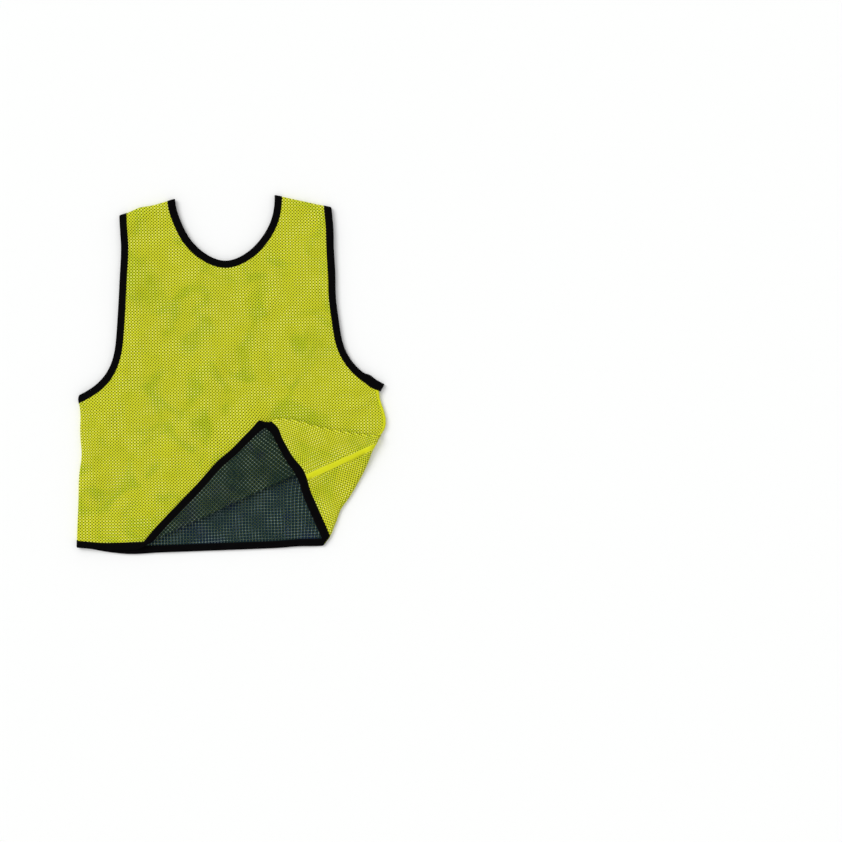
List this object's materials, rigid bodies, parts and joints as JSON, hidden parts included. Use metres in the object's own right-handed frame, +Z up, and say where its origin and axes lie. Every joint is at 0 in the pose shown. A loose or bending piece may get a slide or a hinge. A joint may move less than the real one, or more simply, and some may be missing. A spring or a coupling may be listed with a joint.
{
  "type": "reversible training bib",
  "caption": "Sleeveless two-layer mesh training bib, yellow outside and dark green inside, bound in black, laid flat with its lower right front corner turned up.",
  "frame": {"origin": "middle of the bib's underside, at the middle of its bounding box, on the surface it lies on", "axes": "+Y from the hem towards the neck, +X to the right as seen from above, +Z up out of the front"},
  "size_m": [0.5876, 0.655, 0.0153],
  "materials": {
    "yellow_mesh": "yellow polyester mesh with small round holes, slightly shiny",
    "green_mesh": "dark green polyester mesh with small round holes, slightly shiny",
    "yellow_tape": "closely knitted bright yellow tape without holes",
    "black_tape": "matt black knitted binding tape"
  },
  "bodies": {
    "root": {"outer_back": "yellow_mesh", "inner_back": "green_mesh", "inner_front": "green_mesh", "outer_front": "yellow_mesh", "side_strip_right": "yellow_tape", "side_strip_left": "yellow_tape", "neck_binding": "black_tape", "armhole_binding_right": "black_tape", "armhole_binding_left": "black_tape", "hem_binding": "black_tape"}
  },
  "joints": []
}
